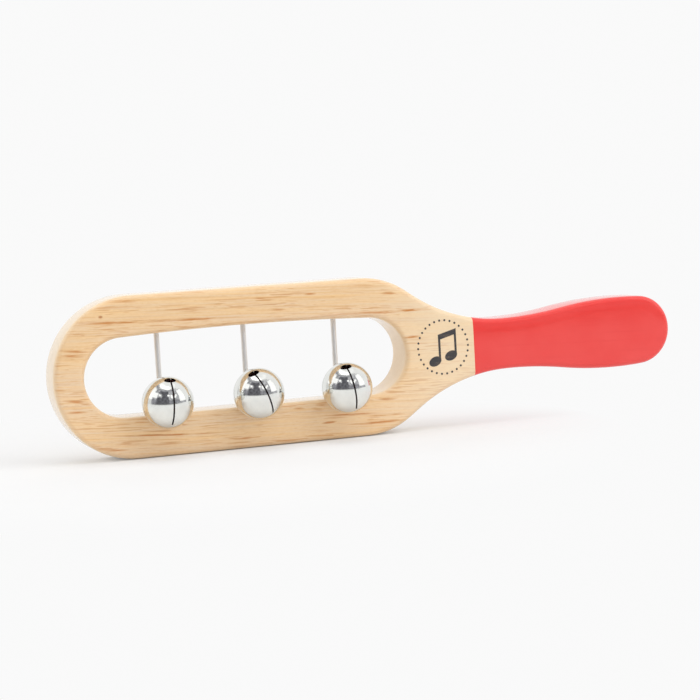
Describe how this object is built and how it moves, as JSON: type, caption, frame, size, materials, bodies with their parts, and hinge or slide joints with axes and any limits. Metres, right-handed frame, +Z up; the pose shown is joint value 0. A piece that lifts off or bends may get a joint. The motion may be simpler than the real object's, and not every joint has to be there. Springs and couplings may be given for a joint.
{
  "type": "hand rattle",
  "caption": "Flat wooden paddle-shaped hand rattle with a slotted head, a painted handle and slit jingle bells looped on steel rods across the slot.",
  "frame": {"origin": "centre of the bounding box's lower face, level with the lower edge of the head on which it stands", "axes": "+X along the board from the head to the handle, +Y from the bells to the board's back face, +Z up from the lower edge"},
  "size_m": [0.2488, 0.0344, 0.06],
  "materials": {
    "wood": "clear satin lacquer on pale wood, red paint on the handle",
    "plug_wood": "sanded",
    "steel_rod": "drawn wire",
    "chrome": "bright plated",
    "loop_wire": "plated wire",
    "ball_steel": "plain"
  },
  "bodies": {
    "frame": {"wooden_frame": "wood", "rod_plug_1": "plug_wood", "rod_plug_2": "plug_wood", "rod_plug_3": "plug_wood"},
    "rod_1": {"rod_1": "steel_rod"},
    "bell_1": {"bell_front_cup_1": "chrome", "bell_back_cup_1": "chrome", "bell_loop_1": "loop_wire"},
    "ball_1": {"bell_ball_1": "ball_steel"},
    "rod_2": {"rod_2": "steel_rod"},
    "bell_2": {"bell_front_cup_2": "chrome", "bell_back_cup_2": "chrome", "bell_loop_2": "loop_wire"},
    "ball_2": {"bell_ball_2": "ball_steel"},
    "rod_3": {"rod_3": "steel_rod"},
    "bell_3": {"bell_front_cup_3": "chrome", "bell_back_cup_3": "chrome", "bell_loop_3": "loop_wire"},
    "ball_3": {"bell_ball_3": "ball_steel"}
  },
  "joints": [
    {"name": "bell_1_swivel", "type": "hinge", "parent": "frame", "child": "rod_1", "pos_m": [-0.0836, 0.00904, 0], "axis": [0, 0, 1], "range_deg": [-11.8, 20.7]},
    {"name": "bell_1_slide", "type": "slide", "parent": "rod_1", "child": "bell_1", "axis": [0, 0, 1], "range_m": [0, 0.0186]},
    {"name": "ball_1_roll", "type": "hinge", "parent": "bell_1", "child": "ball_1", "pos_m": [-0.08492, -0.00742, 0.02063], "axis": [0, -0.9786, 0.2056], "continuous": true},
    {"name": "bell_2_swivel", "type": "hinge", "parent": "frame", "child": "rod_2", "pos_m": [-0.0503, 0.00904, 0], "axis": [0, 0, 1], "range_deg": [-15.8, 16.2]},
    {"name": "bell_2_slide", "type": "slide", "parent": "rod_2", "child": "bell_2", "axis": [0, 0, 1], "range_m": [0, 0.0181]},
    {"name": "ball_2_roll", "type": "hinge", "parent": "bell_2", "child": "ball_2", "pos_m": [-0.05039, -0.00723, 0.0209], "axis": [-0.0085, -0.9758, 0.2186], "continuous": true},
    {"name": "bell_3_swivel", "type": "hinge", "parent": "frame", "child": "rod_3", "pos_m": [-0.0146, 0.00904, 0], "axis": [0, 0, 1], "range_deg": [-10.3, 21.7]},
    {"name": "bell_3_slide", "type": "slide", "parent": "rod_3", "child": "bell_3", "axis": [0, 0, 1], "range_m": [0, 0.0196]},
    {"name": "ball_3_roll", "type": "hinge", "parent": "bell_3", "child": "ball_3", "pos_m": [-0.01622, -0.00774, 0.02012], "axis": [-0.0472, -0.9823, 0.1811], "continuous": true}
  ]
}
